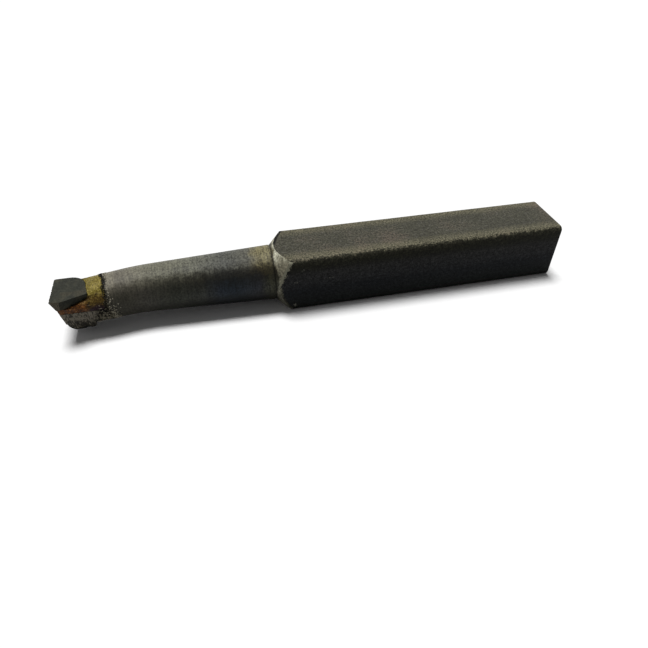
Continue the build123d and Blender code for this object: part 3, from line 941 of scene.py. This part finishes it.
# Lumps that the filler cooled into
cooled_by = {"Lump size": 1.4, "Lump height": 0.55, "Seed": 3, "Filler": brass}
pool, given = new_geometry_tree("cooled filler", cooled_by)
place = add(pool, "GeometryNodeInputPosition")
in_lumps = add(pool, "Math", [1 / MM, given["Lump size"]], operation="DIVIDE")
in_lumps = add(pool, "VectorMath", [place, in_lumps], operation="SCALE")
lumps = add(pool, "TexNoise", [in_lumps, given["Seed"], 1.0, 3.0], noise_dimensions="4D")
lumps = add(pool, "MapRange", [lumps, 0.0, 1.0, -0.6, 0.4])
lumps = add(pool, "Math", [lumps, given["Lump height"]], operation="MULTIPLY")
end_tree(pool, moved_out(pool, given["Geometry"], lumps), given["Filler"])
run_tree(brazing_filler, pool, cooled_by)
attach(brazing_filler, "root")
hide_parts("braze")

# --------------------------------------------------
# Flux slag. Glassy crumbs of burnt brazing flux, stuck where the filler stopped: a thin line over the
# head at the end of the turned neck, and a thicker crust low on the nose side.
slag_run, around = np.meshgrid(
    np.arange(55.0, 63.6, 0.3), np.radians(np.arange(-62, 150, 3)), indexing="ij"
)
across, rise = neck_radius(slag_run) * np.cos(around), neck_radius(slag_run) * np.sin(around)
places = off_axis(slag_run, across, axis_height + rise)
slag_rim, slag_debris, slag_skirt = 57.9, 57.4, 63.2
stray = slag_run - slag_wander(around)
line = np.exp(-(((stray - slag_line) / 0.38) ** 2))
rim = np.exp(-(((stray - slag_rim) / 0.42) ** 2))
crust = 1.3 * np.exp(-(((slag_run - slag_crust) / 1.9) ** 2) - ((rise + 2.8) / 3.0) ** 2)
debris = np.exp(-(((slag_run - slag_debris) / 1.4) ** 2) - ((rise + 2.5) / 3.6) ** 2)
skirt = 2.0 * np.exp(-(((slag_run - slag_skirt) / 0.7) ** 2) - ((rise + 6.0) / 1.4) ** 2)
corner = np.arange(slag_run.size).reshape(slag_run.shape)
flux_slag = new_piece("flux_slag", places.reshape(-1, 3), grid_faces(corner))
store(
    flux_slag,
    density=(2.5 * line + rim + 1.2 * crust + 0.5 * debris + skirt).ravel(),
    light=(
        (rim + debris + skirt + 0.6 * crust) / (debris + crust + 1.5 * line + rim + skirt + 1e-6)
    ).ravel(),
    coarse=(0.35 + 0.15 * line + 0.4 * crust + 0.3 * debris + 0.4 * skirt).ravel(),
)

# Burnt flux: borax glass full of iron oxide, from black to a dirty white
slag_glass, tree, shader, _ = new_material("burnt_flux_slag", Specular_IOR_Level=0.05, Roughness=0.6)
shade = add(tree, "Attribute", attribute_name="shade").outputs["Fac"]
crumb_colour = add(tree, "ValToRGB", [shade], [
    (0.0, "#060505"), (0.45, "#14120e"), (0.6, "#3f3c31"), (0.78, "#857f6d"), (1.0, "#bdb7a4"),
])
add(tree, shader, {"Base Color": crumb_colour})

# Crumbs: bent pebbles of slag, strewn as thickly, as lightly and as coarsely as the marks say
full_turn = 6.28
strewn = {
    "Crumbs per square metre": 1.9e7, "Smallest": 0.00015, "Largest": 0.0007, "Seed": 11,
    "Slag": slag_glass,
}
crumbs, given = new_geometry_tree("slag crumbs", strewn)
density, light, coarse = (
    add(crumbs, "GeometryNodeInputNamedAttribute", {"Name": name})
    for name in ("density", "light", "coarse")
)
density = add(crumbs, "Math", [density, given["Crumbs per square metre"]], operation="MULTIPLY")
scatter = {"Mesh": given["Geometry"], "Density": density, "Seed": given["Seed"]}
scatter = add(crumbs, "GeometryNodeDistributePointsOnFaces", scatter)
spread = add(crumbs, "FunctionNodeRandomValue", {"Min": -0.35, "Max": 0.62, "Seed": given["Seed"]})
shade = add(crumbs, "Math", [light, 0.48, spread], operation="MULTIPLY_ADD")
scatter = add(
    crumbs, "GeometryNodeStoreNamedAttribute", {"Geometry": scatter, "Name": "shade", "Value": shade}
)
grit = add(crumbs, "GeometryNodeMeshIcoSphere", {"Radius": 0.5, "Subdivisions": 1})
grit_place = add(crumbs, "GeometryNodeInputPosition")
grit_noise = add(crumbs, "TexNoise", [grit_place, 2.5, 1.0])
grit_shift = add(crumbs, "MapRange", [grit_noise, 0.0, 1.0, -0.9, 0.9])
grit_shift = add(crumbs, "VectorMath", [grit_place, grit_shift], operation="SCALE")
grit = add(crumbs, "GeometryNodeSetPosition", {"Geometry": grit, "Offset": grit_shift})
spin = {"Max": (full_turn,) * 3, "Seed": given["Seed"]}
spin = add(crumbs, "FunctionNodeRandomValue", spin, data_type="FLOAT_VECTOR")
size = add(crumbs, "FunctionNodeRandomValue", {"Seed": given["Seed"]})
size = add(crumbs, "Math", [size, 2.0], operation="POWER")
size = add(crumbs, "Math", [size, coarse], operation="MULTIPLY")
size = add(crumbs, "MapRange", [size, 0.0, 1.0, given["Smallest"], given["Largest"]])
placed = {"Points": scatter, "Instance": grit, "Rotation": spin, "Scale": size}
placed = add(crumbs, "GeometryNodeInstanceOnPoints", placed)
placed = add(crumbs, "GeometryNodeRealizeInstances", {"Geometry": placed})
placed = add(crumbs, "GeometryNodeSetMaterial", {"Geometry": placed, "Material": given["Slag"]})
add(crumbs, "NodeGroupOutput", [placed])
run_tree(flux_slag, crumbs, strewn)
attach(flux_slag, "root")

# --------------------------------------------------
# Stage. A pale floor, one wide soft lamp almost overhead and a little behind, and a white room.
floor_size = 6.0
floor = new_piece(
    "floor",
    [(x * floor_size, y * floor_size, 0) for x, y in ((-1, -1), (1, -1), (1, 1), (-1, 1))],
    [(0, 1, 2, 3)],
)


def seen_straight(tree):
    """1 for what the camera or a polished or clear surface sees, and 0 for light that spreads."""
    rays = add(tree, "LightPath").outputs
    seen = add(tree, "Math", [rays["Is Camera Ray"], rays["Is Glossy Ray"]])
    return add(tree, "Math", [seen, rays["Is Transmission Ray"]], use_clamp=True)


# White paper: white as the camera or a polished surface sees it, and greyer in the light it spreads
paper, tree, shader, _ = new_material("white_paper", Roughness=0.9, Specular_IOR_Level=0.0)
paper_colour = add(tree, "Mix", [seen_straight(tree), linear("#9a9a9a"), linear("#ffffff")])
add(tree, shader, {"Base Color": paper_colour})
floor.data.materials.append(paper)

world = bpy.data.worlds.new("room")
bpy.context.scene.world = world
world.use_nodes = True
tree = world.node_tree
strength = add(tree, "MapRange", [seen_straight(tree), 0.0, 1.0, 0.12])
add(tree, tree.nodes["Background"], {"Strength": strength, "Color": (1, 1, 1, 1)})

lamp = put_in_scene("soft_lamp", bpy.data.lights.new("soft_lamp", "SUN"))
lamp.data.energy = 3.0
lamp.data.angle = math.radians(20)
lamp.rotation_mode = "QUATERNION"
lamp.rotation_quaternion = Vector((-0.08, 0.2, 1.0)).to_track_quat("Z", "Y")

# Camera at the height of someone holding it over the bench
camera = put_in_scene("camera", bpy.data.cameras.new("camera"))
camera_azimuth, camera_elevation, camera_roll = -0.2289, 0.7216, 0.0049
camera.data.lens = 29.34
camera.data.sensor_width = 36.0
camera.location = Vector((-68.94, -146.42, 115.13)) * MM
back = Vector((
    math.sin(camera_azimuth) * math.cos(camera_elevation),
    -math.cos(camera_azimuth) * math.cos(camera_elevation),
    math.sin(camera_elevation),
))
camera.rotation_mode = "QUATERNION"
level_view = (-back).to_track_quat("-Z", "Y")
camera.rotation_quaternion = level_view @ Quaternion((0, 0, 1), camera_roll)
camera.data.clip_start, camera.data.clip_end = 0.01, 20
bpy.context.scene.camera = camera
bpy.context.scene.view_settings.view_transform = "Standard"
